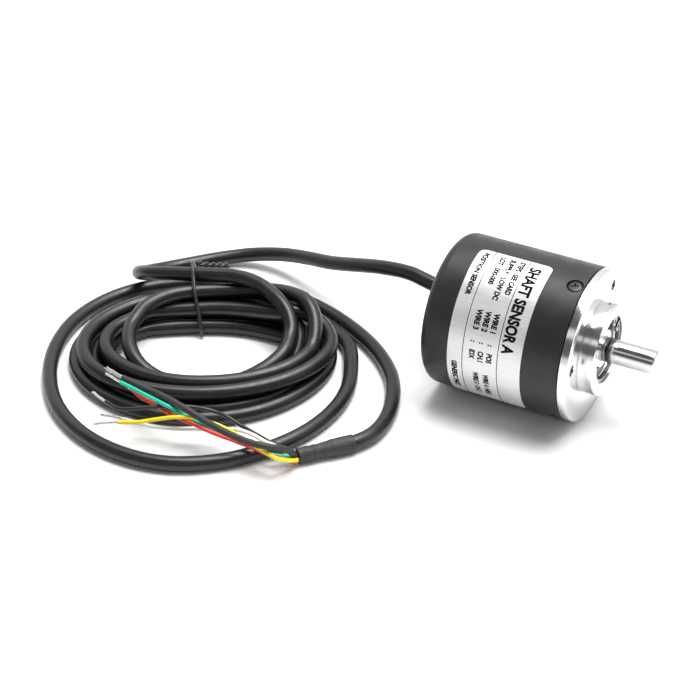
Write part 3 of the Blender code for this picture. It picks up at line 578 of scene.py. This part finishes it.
# The way the sleeve points, and the sizes of the leads, their bare strands and the tie.
SLEEVE_AHEAD = Vector((-0.935, -0.355, 0.0))
SHIELD_R, LEAD_R = 1.1, 0.65
STRAND_R, STRAND_COUNT, STRAND_STEPS = 0.15, 7, 22
TIE_R, TWIST_R, TWIST_REACH, TWIST_STEP = 0.62, 0.5, 0.52, 0.62
LEAD_ROUTES = {
    "shield_lead": [
        (31.4, -56.2, 4.6), (29.3, -58.2, 7.0), (26.8, -59.7, 9.2), (22.8, -61.1, 10.9),
        (17.3, -59.6, 11.4), (10.4, -55.6, 11.8), (3.1, -50.9, 13.1), (-3.7, -45.9, 14.4),
        (-11.0, -39.3, 14.2), (-17.8, -33.6, 13.4), (-24.3, -27.9, 12.9),
    ],
    "lead_green": [
        (31.1, -55.4, 2.4), (28.0, -56.0, 3.2), (23.2, -57.0, 4.8), (18.1, -54.2, 5.2),
        (12.0, -51.2, 5.6), (4.6, -48.0, 8.0), (-2.6, -45.2, 10.4), (-9.2, -43.4, 13.4),
        (-15.9, -38.3, 13.6), (-20.6, -34.2, 13.4), (-24.9, -30.0, 12.8),
    ],
    "lead_red": [
        (31.6, -56.7, 2.0), (28.1, -57.7, 3.4), (23.3, -59.6, 6.6), (17.6, -56.0, 6.8), (12.0, -52.9, 7.0),
        (5.6, -50.2, 7.8), (-1.0, -47.0, 9.0), (-7.8, -43.3, 9.7), (-13.8, -38.8, 10.8), (-18.0, -36.0, 11.3),
        (-21.5, -31.8, 11.6),
    ],
    "lead_yellow": [
        (31.9, -57.5, 3.2), (28.6, -61.5, 6.0), (24.7, -63.1, 8.4), (20.3, -59.2, 8.6), (15.8, -55.2, 8.8),
        (11.0, -50.4, 8.7), (5.6, -47.8, 9.8), (0.1, -47.6, 11.7), (-6.1, -47.4, 12.0), (-12.5, -46.7, 10.6),
        (-18.5, -46.0, 9.0), (-24.6, -45.0, 8.2),
    ],
    "lead_white": [
        (30.8, -54.5, 3.9), (27.4, -54.6, 5.2), (22.2, -54.7, 7.6), (18.1, -52.3, 8.6), (14.0, -49.8, 8.6),
        (10.4, -47.8, 7.6), (6.2, -46.4, 6.2), (0.3, -45.0, 5.8), (-6.0, -44.9, 5.6), (-12.3, -44.1, 5.6),
        (-17.4, -43.4, 6.4), (-23.1, -41.8, 7.0),
    ],
    "lead_black": [
        (30.5, -53.9, 2.1), (27.4, -52.7, 4.2), (23.3, -53.2, 6.6), (17.9, -48.4, 6.6), (13.2, -44.6, 7.0),
        (9.0, -42.4, 8.6), (4.4, -42.1, 10.6), (-1.0, -41.3, 11.3), (-6.6, -41.2, 11.7), (-13.2, -42.0, 12.0),
        (-19.7, -42.2, 11.4), (-24.8, -41.2, 10.8), (-29.1, -37.3, 10.6),
    ],
}
# Length of bare wire at each lead's tip.
BARE = {"shield_lead": 9.0, "lead_green": 8.0, "lead_red": 1.5, "lead_yellow": 8.5, "lead_white": 8.5,
        "lead_black": 8.0}
TIE_ROUTE = [
    (-2.2, 13.3, 0.9), (-2.4, 13.4, 3.6), (-3.0, 15.0, 7.4), (-3.6, 17.0, 10.4), (-4.2, 18.6, 12.6),
    (-4.6, 20.2, 14.7), (-4.9, 22.4, 16.3), (-5.2, 24.6, 17.8), (-5.4, 26.2, 19.2), (-5.5, 28.6, 20.0),
    (-5.7, 31.6, 19.2), (-5.8, 35.6, 15.8), (-5.9, 41.4, 10.4), (-6.0, 46.6, 5.6), (-6.0, 46.9, 0.9),
]
TIE_TWIST_ROUTE = [(-4.6, 33.0, 18.0), (-2.0, 34.4, 16.2), (2.3, 36.4, 14.7), (6.0, 38.6, 13.2)]


def sleeve_form(start, end):
    """Heat-shrink tube: wide over the jacket, narrow over the leads, shrunk into shallow rings."""
    length = (end - start).length / MM
    outline = [(0.0, 0.0), (0.0, 2.66), (0.12, 2.84)]
    steps = 90
    for step in range(1, steps):
        x = length * step / steps
        fall = min(max((x / length - 0.36) / 0.16, 0.0), 1.0)
        fall = fall * fall * (3.0 - 2.0 * fall)
        radius = 2.92 - 0.42 * fall
        radius += 0.07 * math.sin(2.1 * x + 1.3 * math.sin(0.9 * x)) * (0.35 + 0.65 * fall)
        outline.append((x, radius))
    outline += [(length, 2.36), (length, 1.9), (length - 1.2, 1.7), (length - 1.2, 0.0)]
    form = turned_form(outline, 64)
    for vert in form.verts:
        seen = Vector((vert.co.x * 260.0, vert.co.y * 420.0, vert.co.z * 420.0))
        swell = 1.0 + 0.028 * noise.noise(seen) * min(1.0, vert.co.yz.length / (2.0 * MM))
        vert.co.y *= swell
        vert.co.z *= swell
    return form


def square_to(ahead):
    """Two directions square to a direction: level, and upwards."""
    side = ahead.cross(Vector((0.0, 0.0, 1.0))).normalized()
    return side, side.cross(ahead).normalized()


def strands(name, tip, ahead, radius, length, seed):
    """The twisted bare wires that stick out of a lead's end, as one piece."""
    side, rise = square_to(ahead)
    wires = []
    for strand in range(STRAND_COUNT):
        turn = 2.0 * math.pi * strand / STRAND_COUNT + seed
        wire = []
        for step in range(STRAND_STEPS + 1):
            share = step / STRAND_STEPS
            spread = radius * (0.55 + 0.28 * share ** 3 * math.sin(3.0 * seed + strand))
            angle = turn + 4.2 * share
            along = ahead * (length * share * (1.0 - 0.05 * math.sin(seed + 2.0 * strand)) - 0.8)
            bend = rise * (0.5 * math.sin(seed) * share ** 2) + side * (0.8 * math.cos(seed) * share ** 2)
            point = tip + (along + bend + spread * (math.cos(angle) * side + math.sin(angle) * rise)) * MM
            point.z = max(point.z, 0.4 * MM)
            wire.append(point)
        wires.append(wire)
    return round_lines(name, wires, STRAND_R, "steel", resolution=3, material=TINNED)


def add_sleeve():
    start, end = [coil_point(point) for point in SLEEVE_ROUTE]
    form = sleeve_form(start, end)
    turn = (end - start).to_track_quat("X", "Z").to_matrix().to_4x4()
    return add_piece("sleeve", form, "shrink_tube", ("heat_shrink_sleeve",),
                     matrix=Matrix.Translation(start) @ turn, angle=60.0)


def add_leads():
    """Six leads from the sleeve's mouth, the shield's in a slightly uneven black sleeve of its own."""
    for number, (name, route) in enumerate(LEAD_ROUTES.items()):
        is_shield = name == "shield_lead"
        radius = SHIELD_R if is_shield else LEAD_R
        start = Vector(route[0])
        route = [start, start + SLEEVE_AHEAD * radius] + [Vector(point) for point in route[1:]]
        points = [coil_point(point) for point in smooth_route(route, 0.8)]
        radii = radius
        if is_shield:
            radii = [radius * (1.0 + 0.05 * math.sin(1.7 * step)) for step in range(len(points))]
        slot = "shrink_tube" if is_shield else name
        lead = round_lines(name + "_cover", [points], radii, slot, (name,))
        ahead = (points[-1] - points[-4]).normalized()
        tip = strands(name + "_strands", points[-1], ahead, 0.75 * radius, BARE[name], number + 0.6)


def add_tie():
    """Thin wire tie: an arch over the bundle, with its twisted ends lying on the turns."""
    arch = [coil_point(point) for point in smooth_route(TIE_ROUTE, 0.8)]
    hoop = round_lines("tie_arch", [arch], TIE_R, "tie_coat", ("twist_tie",))
    line = smooth_route(TIE_TWIST_ROUTE, 0.5)
    wires = []
    for strand in (0.0, math.pi):
        wire = []
        for step, point in enumerate(line):
            ahead = Vector(line[min(step + 1, len(line) - 1)]) - Vector(line[max(step - 1, 0)])
            side, rise = square_to(ahead)
            angle = strand + TWIST_STEP * step
            lean = math.cos(angle) * side + math.sin(angle) * rise
            wire.append(coil_point(Vector(point) + TWIST_REACH * lean))
        wires.append(wire)
    return [hoop, round_lines("tie_twist", wires, TWIST_R, "tie_coat", ("twist_tie_twist",))]


sleeve = add_sleeve()
ties = add_tie()
add_leads()

# ---------------------------------------------------------------- housing and flange

COVER_SCREWS = (104.0, 224.0, 344.0)
MOUNT_HOLES = (51.8, 171.8, 291.8)
MOUNT_CIRCLE_R = 20.0
SCREW_X = -6.0


def add_cover():
    outline = [(-3.0, 22.6), (-3.0, 24.85), (-3.15, 25.0)]
    outline += arc(-46.7, 21.5, 3.5, 90.0, 180.0, 14)
    outline += [(-50.2, 0.0), (-47.8, 0.0), (-47.8, 22.6)]
    form = turned_form(outline)
    bores = turned_form(rod(-53.0, -45.4, 4.3), 64)
    bmesh.ops.translate(bores, verts=bores.verts, vec=(0.0, GLAND_Y * MM, 0.0))
    for angle in COVER_SCREWS:
        bore = [(23.7, 0.0), (23.7, 2.6), (24.75, 2.6), (25.6, 3.0), (25.6, 0.0)]
        merge(bores, turned_form(bore, 48), outward(angle, SCREW_X))
    form = carve(form, bores)
    holes = bmesh.new()
    for angle in COVER_SCREWS:
        merge(holes, turned_form(rod(20.2, 24.0, 1.3), 32), outward(angle, SCREW_X))
    add_piece("cover", carve(form, holes), "black_coat", ("housing_cover",))


def add_flange():
    outline = [
        (-14.3, 11.0), (3.05, 11.0), (3.05, 11.6), (4.25, 11.6), (4.25, 11.0), (4.6, 11.0), (4.9, 11.3),
        (4.9, 14.72), (4.62, 15.0), (0.25, 15.0), (0.0, 14.85), (-0.08, 15.2), (0.0, 15.45),
        (0.0, 24.45), (-0.12, 24.72), (-0.45, 24.9), (-2.55, 24.9), (-2.7, 24.75), (-2.7, 22.3),
        (-8.6, 22.3), (-8.6, 21.2), (-10.2, 21.2), (-10.2, 22.3), (-11.0, 22.3), (-11.0, 15.0),
        (-16.0, 15.0), (-16.0, 9.5), (-14.3, 9.5),
    ]
    form = turned_form(outline, 240)
    holes = bmesh.new()
    for angle in MOUNT_HOLES:
        hole = [(-6.5, 0.0), (-6.5, 1.75), (-0.2, 1.75), (0.3, 2.15), (0.3, 0.0)]
        merge(holes, turned_form(hole, 48), around(MOUNT_CIRCLE_R, angle))
    for angle in COVER_SCREWS:
        merge(holes, turned_form(rod(16.8, 25.4, 1.3), 32), outward(angle, SCREW_X))
    add_piece("flange", carve(form, holes), "machined_aluminium", ("front_flange",))


def add_mount_threads():
    """The thread inside each mounting hole, in dark aluminium that is painted shade for the hole's depth."""
    form = bmesh.new()
    for angle in MOUNT_HOLES:
        outline = [(-6.4, 1.75)]
        x = -6.2
        while x < -0.6:
            outline += [(x, 1.42), (x + 0.35, 1.62)]
            x += 0.7
        outline += [(x, 1.75)]
        merge(form, turned_form(outline, 40), around(MOUNT_CIRCLE_R, angle))
    add_piece("mount_threads", form, "machined_aluminium", material=HOLE_SHADE_METAL)


def screw_form(head_r, shank_r, shank_low, head_low, head_high):
    """Cheese-head screw along +X with a cross recess."""
    outline = [(shank_low, 0.0), (shank_low, shank_r - 0.2), (shank_low + 0.2, shank_r), (head_low, shank_r),
               (head_low, head_r), (head_high - 0.35, head_r), (head_high - 0.12, head_r - 0.08),
               (head_high, head_r - 0.3), (head_high + 0.06, head_r * 0.5), (head_high + 0.06, 0.0)]
    reach, half_width = 0.62 * head_r, 0.13 * head_r
    wings = []
    for turn in (0.0, 90.0):
        wing = box_form((head_high - 0.7, -reach, -half_width), (head_high + 0.6, reach, half_width))
        for vert in wing.verts:
            if vert.co.x < head_high * MM:
                vert.co.y *= 0.55
        wing.transform(Matrix.Rotation(math.radians(turn), 4, "X"))
        wings.append(wing)
    return carve(turned_form(outline, 64), carve(*wings, "UNION"))


def add_cover_screws():
    for number, angle in enumerate(COVER_SCREWS, start=1):
        form = screw_form(2.3, 1.0, 17.1, 23.85, 24.8)
        form.transform(Matrix.Rotation(math.radians(33.0 * number - 15.0), 4, "X"))
        form.transform(outward(angle, SCREW_X))
        add_piece("cover_screw_%d_head" % number, form, "blackened_steel", ("cover_screw_%d" % number,))


# Where the retaining ring is open, from +Y towards +Z, and how far each lug stands from there.
CIRCLIP_GAP, LUG_LEAN = 40.0, 15.5


def add_circlip():
    """Internal retaining ring, open at the top right, with a holed lug on each side of the gap."""
    form = turned_form([(3.2, 9.9), (3.2, 11.45), (3.26, 11.5), (4.04, 11.5), (4.1, 11.45), (4.1, 9.9),
                        (4.04, 9.84), (3.26, 9.84)])
    holes = bmesh.new()
    for side in (-1.0, 1.0):
        lug = turned_form(rod(3.21, 4.09, 1.75), 48)
        lug.transform(around(9.25, CIRCLIP_GAP + side * LUG_LEAN))
        form = carve(form, lug, "UNION")
        merge(holes, turned_form(rod(3.0, 4.4, 0.62), 32), around(9.0, CIRCLIP_GAP + side * LUG_LEAN))
    form = carve(form, holes)
    gap = box_form((2.9, 5.0, -1.1), (4.5, 14.0, 1.1))
    gap.transform(Matrix.Rotation(math.radians(CIRCLIP_GAP), 4, "X"))
    add_piece("circlip", carve(form, gap), "steel", ("bearing_circlip",), material=SPRING_STEEL)


def add_bearing_face():
    outer = [(-4.1, 8.8), (-4.1, 10.7), (-3.85, 10.95), (2.6, 10.95), (2.9, 10.65), (2.9, 9.35), (2.6, 9.2)]
    outer += arc(-0.6, 7.5, 2.05, 40.0, 140.0, 12)
    add_piece("outer_ring_front", turned_form(outer), "steel", ("front_bearing_outer_ring",))
    inner = [(-4.1, 4.3), (-3.85, 4.05), (2.65, 4.05), (2.9, 4.3), (2.9, 6.1), (2.8, 6.2)]
    inner += arc(-0.6, 7.5, 2.05, 320.0, 220.0, 12) + [(-4.0, 6.2), (-4.1, 6.1)]
    add_piece("inner_ring_front", turned_form(inner), "steel", ("front_bearing_inner_ring",), body="rotor")
    # The shield's dark grey is partly painted shade for its recess between the rings.
    shield = [(2.3, 6.75), (2.3, 9.0), (2.62, 9.0), (2.62, 8.8), (2.45, 8.6), (2.45, 7.2),
              (2.62, 7.0), (2.62, 6.7), (2.35, 6.7)]
    add_piece("bearing_shield", turned_form(shield), "pressed_steel", ("front_bearing_shield",))


def add_shaft():
    outline = [(20.5, 0.0), (20.5, 3.5), (20.44, 3.6), (20.1, 3.95), (20.0, 4.0), (17.62, 4.0),
               (17.58, 3.975), (17.42, 3.975), (17.38, 4.0), (-14.3, 4.0), (-14.3, 5.1), (-14.4, 5.2),
               (-16.3, 5.2), (-16.4, 5.1), (-16.4, 4.0), (-31.55, 4.0), (-32.0, 3.55), (-32.0, 0.0)]
    add_piece("shaft_turned", turned_form(outline, 128), "steel", ("shaft",), body="rotor")


def add_gland():
    outline = [(-46.0, 0.0), (-46.0, 5.2), (-46.2, 5.4), (-47.5, 5.4), (-47.5, 4.0), (-50.5, 4.0),
               (-50.5, 5.05), (-50.65, 5.2), (-51.6, 5.2), (-51.9, 5.0), (-52.05, 4.4), (-52.1, 3.95)]
    x = -52.3
    while x > -55.0:
        size = 3.9 - 0.55 * (-52.1 - x) / 3.1
        outline += [(x, size), (x - 0.28, size - 0.02), (x - 0.34, size - 0.28), (x - 0.56, size - 0.3)]
        x -= 0.62
    outline += [(-55.2, 3.2), (-55.2, 2.62), (-54.9, 2.56), (-54.9, 0.0)]
    matrix = Matrix.Translation((FACE_X, GLAND_Y * MM, AXIS_Z))
    add_piece("gland", turned_form(outline, 64), "rubber", ("cable_gland",), matrix=matrix)


# ---------------------------------------------------------------- label

LABEL_START, LABEL_SPAN = 92.0, 135.0
LABEL_R, LABEL_THICK = 25.16, 0.11
# The ink's middle above the label, half its thickness, and the longest stretch of it that is left flat.
INK_LIFT, INK_HALF, INK_STEP = 0.016, 0.012, 0.6


def label_point(run, x, lift=0.0):
    """A place on the label: distance round the body from the label's upper edge, and along the axis."""
    angle = math.radians(LABEL_START) + run / LABEL_R
    radius = LABEL_R + lift
    return Vector((x, radius * math.cos(angle), radius * math.sin(angle))) * MM


def add_label():
    """Thin printed sheet with rounded corners, wrapped round the body."""
    low_x, high_x = -39.8, -15.0
    length = LABEL_R * math.radians(LABEL_SPAN)
    corner = 2.2
    rows = []
    runs = [length * step / 150 for step in range(151)]
    for step in range(1, 14):
        runs += [corner * step / 14, length - corner * step / 14]
    form = bmesh.new()
    for run in sorted(set(runs)):
        edge = min(run, length - run)
        inset = corner - math.sqrt(max(corner ** 2 - (corner - edge) ** 2, 0.0)) if edge < corner else 0.0
        row = []
        for layer in (-LABEL_THICK, 0.0):
            row.append([form.verts.new(label_point(run, x, layer))
                        for x in (low_x + inset, (low_x + high_x) / 2.0, high_x - inset)])
        rows.append(row)
    for first, second in zip(rows, rows[1:]):
        for index in range(2):
            form.faces.new((first[1][index], first[1][index + 1], second[1][index + 1], second[1][index]))
            form.faces.new((first[0][index + 1], first[0][index], second[0][index], second[0][index + 1]))
        for index in (0, 2):
            form.faces.new((first[0][index], first[1][index], second[1][index], second[0][index]))
    for row in (rows[0], rows[-1]):
        for index in range(2):
            form.faces.new((row[0][index], row[0][index + 1], row[1][index + 1], row[1][index]))
    add_piece("label", form, "label_foil", ("rating_label",))


def print_form(words, run, x, size, bold=0.0, wide=1.0):
    """Raised ink in the shape of words that read down round the label, letter tops towards the shaft."""
    data = bpy.data.curves.new("print", "FONT")
    data.body = words
    data.size = size
    data.offset = bold
    data.extrude = INK_HALF
    data.resolution_u = 3
    item = link(bpy.data.objects.new("print", data))
    mesh = bpy.data.meshes.new_from_object(item.evaluated_get(bpy.context.evaluated_depsgraph_get()))
    bpy.data.objects.remove(item, do_unlink=True)
    form = bmesh.new()
    form.from_mesh(mesh)
    bpy.data.meshes.remove(mesh)
    high = max(vert.co.x for vert in form.verts)
    place = INK_STEP
    while place < high:
        geometry = form.verts[:] + form.edges[:] + form.faces[:]
        bmesh.ops.bisect_plane(form, geom=geometry, plane_co=(place, 0.0, 0.0), plane_no=(1.0, 0.0, 0.0))
        place += INK_STEP
    for vert in form.verts:
        vert.co = label_point(run + vert.co.x * wide, x + vert.co.y, INK_LIFT + vert.co.z)
    return form


def rule_form(x, width, start, end):
    """A thin printed line round the label."""
    form = bmesh.new()
    rows = []
    for step in range(121):
        run = start + (end - start) * step / 120
        rows.append([form.verts.new(label_point(run, place, lift))
                     for place, lift in ((x, 0.0), (x, 0.02), (x + width, 0.02), (x + width, 0.0))])
    for first, second in zip(rows, rows[1:]):
        for index in range(4):
            form.faces.new((first[index - 1], first[index], second[index], second[index - 1]))
    for row in (rows[0], rows[-1]):
        form.faces.new(row)
    return form


def add_print():
    """The label's words and rules, as one piece of ink."""
    length = LABEL_R * math.radians(LABEL_SPAN)
    lines = [
        # words, start round the label, place along the axis, height of type, weight, width
        ("SHAFT SENSOR A", 2.8, -21.6, 5.1, 0.23, 0.76),
        ("STEPS : SEE CARD", 1.6, -25.6, 2.4, 0.13, 0.72),
        ("SUPPLY : LOW DC", 1.6, -28.8, 2.4, 0.13, 0.82),
        ("LOT : 000-000", 1.6, -32.1, 2.4, 0.13, 0.79),
        ("POSITION SENSOR", 1.6, -37.9, 2.4, 0.13, 0.82),
        ("GENERIC PART", 40.6, -38.1, 2.4, 0.13, 0.82),
        ("WIRE 4 : NEG", 43.0, -27.4, 2.35, 0.13, 0.75),
        ("WIRE 5 : CH.2", 43.0, -30.8, 2.35, 0.13, 0.75),
    ]
    for number, use in enumerate(("POS", "CH.1", "IDX")):
        x = -26.4 - 2.9 * number
        lines += [("WIRE %d" % (number + 1), 21.6, x, 2.45, 0.135, 0.83), (":", 31.6, x, 2.4, 0.135, 1.0),
                  (use, 34.6, x, 2.45, 0.13, 0.77)]
    form = bmesh.new()
    for words, run, x, size, bold, wide in lines:
        merge(form, print_form(words, run, x, size, bold, wide), Matrix.Identity(4))
    for x in (-34.72, -22.92):
        merge(form, rule_form(x, 0.24, 0.12, length - 0.12), Matrix.Identity(4))
    mesh = bpy.data.meshes.new("label_print")
    form.transform(CENTRE)
    form.to_mesh(mesh)
    form.free()
    dress(link(bpy.data.objects.new("label_print", mesh)), "label_foil", material=INK)


add_cover()
add_flange()
add_mount_threads()
add_cover_screws()
add_circlip()
add_bearing_face()
add_shaft()
add_gland()
add_label()
add_print()


def repaint():
    """Every CAD node takes the look of its slot, apart from the capacitor's can, which is pressed."""
    slots = {part["node"]: part["material_slot"] for part in frame["record"]["subparts"]}
    for name, node in frame["nodes"].items():
        look = MATERIALS["pressed_steel" if name == "capacitor" else slots[name]]
        node.data.materials.clear()
        node.data.materials.append(look)


repaint()

# ---------------------------------------------------------------- floor and light

FLOOR_HALF = 12.0
SKY_LEVEL = 2.0
# The sky's brightness round the encoder's axis: share of a full turn, and level there. 0 is level in front,
# 0.5 is level behind and 0.75 is straight up.
SKY_STOPS = [
    (0.0, 0.95), (0.50, 1.0), (0.60, 1.12), (0.752, 1.12), (0.772, 0.12), (0.858, 0.12),
    (0.870, 0.95), (0.892, 0.95), (0.904, 0.12), (0.972, 0.12), (0.984, 0.9),
]


def add_floor():
    form = bmesh.new()
    bmesh.ops.create_grid(form, x_segments=1, y_segments=1, size=FLOOR_HALF)
    mesh = bpy.data.meshes.new("floor")
    form.to_mesh(mesh)
    form.free()
    mesh.materials.append(shader("floor", (0.93, 0.93, 0.93), 0.9))
    link(bpy.data.objects.new("floor", mesh))


def area_light(name, place, target, size, power):
    data = bpy.data.lights.new(name, "AREA")
    data.shape = "RECTANGLE"
    data.size, data.size_y = size
    data.energy = power
    light = link(bpy.data.objects.new(name, data))
    light.location = place
    light.rotation_mode = "QUATERNION"
    light.rotation_quaternion = (Vector(target) - Vector(place)).to_track_quat("-Z", "Y")


def studio_world():
    """Bright overhead and behind, with a dark gap on the viewer's side that holds one thin bright line."""
    world = bpy.data.worlds.new("studio")
    bpy.context.scene.world = world
    world.use_nodes = True
    tree = world.node_tree
    split = tree.nodes.new("ShaderNodeSeparateXYZ")
    tree.links.new(tree.nodes.new("ShaderNodeTexCoord").outputs["Generated"], split.inputs[0])
    turn = math_node(tree, "ARCTAN2", split.outputs["Z"], split.outputs["Y"])
    ramp = tree.nodes.new("ShaderNodeValToRGB")
    tree.links.new(ranged(tree, turn, 0.0, 1.0, -math.pi, math.pi), ramp.inputs[0])
    elements = ramp.color_ramp.elements
    elements[0].position, elements[1].position = SKY_STOPS[0][0], SKY_STOPS[-1][0]
    for place, _ in SKY_STOPS[1:-1]:
        elements.new(place)
    for element, (place, level) in zip(elements, SKY_STOPS):
        element.position = place
        element.color = (*[level / SKY_LEVEL] * 3, 1.0)
    background = tree.nodes["Background"]
    tree.links.new(ramp.outputs[0], background.inputs["Color"])
    background.inputs["Strength"].default_value = SKY_LEVEL


add_floor()
studio_world()
area_light("key", (0.06, 0.24, 1.25), (-0.05, 0.0, 0.0), (1.1, 0.7), 22.5)
bpy.context.scene.view_settings.view_transform = "Standard"
